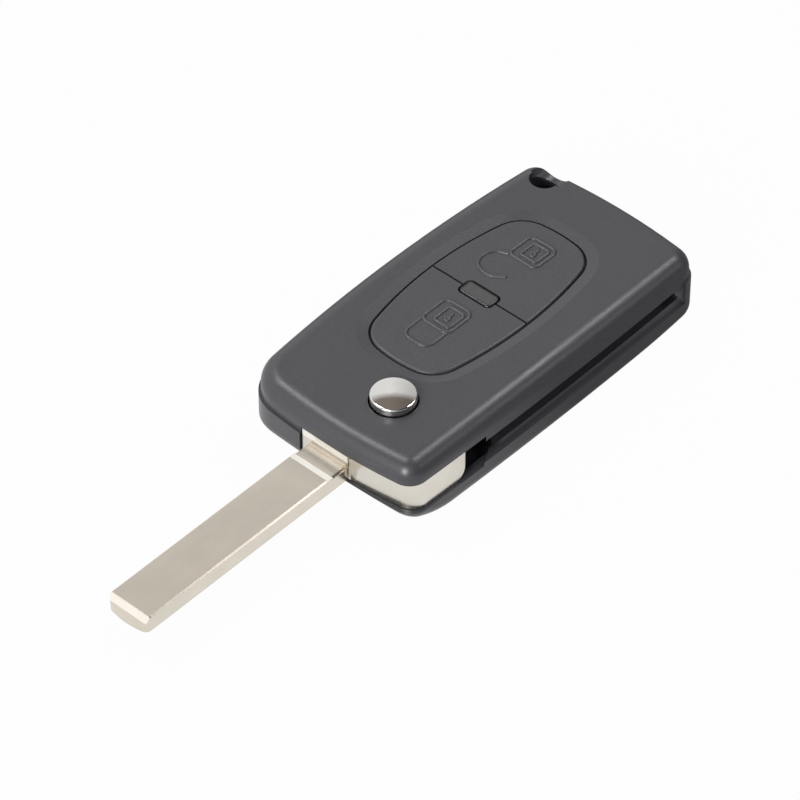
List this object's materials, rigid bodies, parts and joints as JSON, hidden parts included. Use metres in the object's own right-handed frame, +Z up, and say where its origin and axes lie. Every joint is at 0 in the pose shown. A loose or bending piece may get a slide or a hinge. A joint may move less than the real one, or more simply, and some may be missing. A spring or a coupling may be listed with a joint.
{
  "type": "key fob shell",
  "caption": "Folding car key: two-part moulded case with an oval key pad, domed release button, hinged metal head with an uncut blade, and a key-ring eye at the rear corner.",
  "frame": {"origin": "middle of the case's flat underside", "axes": "+X from the blade's head to the key-ring end, +Y away from the blade slot's side, +Z up through the keys; the open blade points along -X"},
  "size_m": [0.122, 0.0396, 0.0159],
  "materials": {
    "case_plastic": "finely textured moulding",
    "key_plastic": "satin moulding",
    "window_plastic": "smooth",
    "button_chrome": "polished",
    "head_nickel": "satin nickel plating",
    "blade_nickel": "satin nickel plating",
    "steel": "plain steel",
    "plunger_plastic": "moulded",
    "switch_plastic": "moulded",
    "mat_rubber": "moulded silicone rubber",
    "board_laminate": "solder mask",
    "contact_bronze": "sheet, half hard",
    "lamp_plastic": "clear tinted",
    "ceramic": "moulded package"
  },
  "bodies": {
    "case": {"upper_case": "case_plastic", "lower_case": "case_plastic", "centre_window": "window_plastic", "keypad_membrane": "mat_rubber", "circuit_board": "board_laminate", "lock_switch": "steel", "unlock_switch": "steel", "indicator_led": "lamp_plastic", "controller_chip": "switch_plastic", "resonator": "ceramic", "coin_cell": "steel", "cell_contact_plus": "contact_bronze", "cell_contact_minus": "contact_bronze", "transponder_chip": "ceramic", "case_screw": "steel", "flip_spring": "steel"},
    "head": {"flip_head": "head_nickel", "blade": "blade_nickel", "blade_pin": "steel"},
    "release": {"release_button": "button_chrome", "release_plunger": "plunger_plastic"},
    "lock_key": {"lock_key": "key_plastic", "lock_switch_plunger": "switch_plastic"},
    "unlock_key": {"unlock_key": "key_plastic", "unlock_switch_plunger": "switch_plastic"}
  },
  "joints": [
    {"name": "head_hinge", "type": "hinge", "parent": "case", "child": "head", "pos_m": [-0.0253, -0.00515, 0], "axis": [0, 0, 1], "range_deg": [0, 180], "stiffness_Nm_per_rad": 0.004, "springref_deg": -28.65},
    {"name": "release_press", "type": "slide", "parent": "head", "child": "release", "axis": [0, 0, -1], "range_m": [0, 0.0018], "stiffness_N_per_m": 300, "springref_m": -0.001, "deforming": ["flip_spring"]},
    {"name": "lock_press", "type": "slide", "parent": "case", "child": "lock_key", "axis": [0, 0, -1], "range_m": [0, 0.0005], "stiffness_N_per_m": 500, "springref_m": -0.0005},
    {"name": "unlock_press", "type": "slide", "parent": "case", "child": "unlock_key", "axis": [0, 0, -1], "range_m": [0, 0.0005], "stiffness_N_per_m": 500, "springref_m": -0.0005}
  ]
}
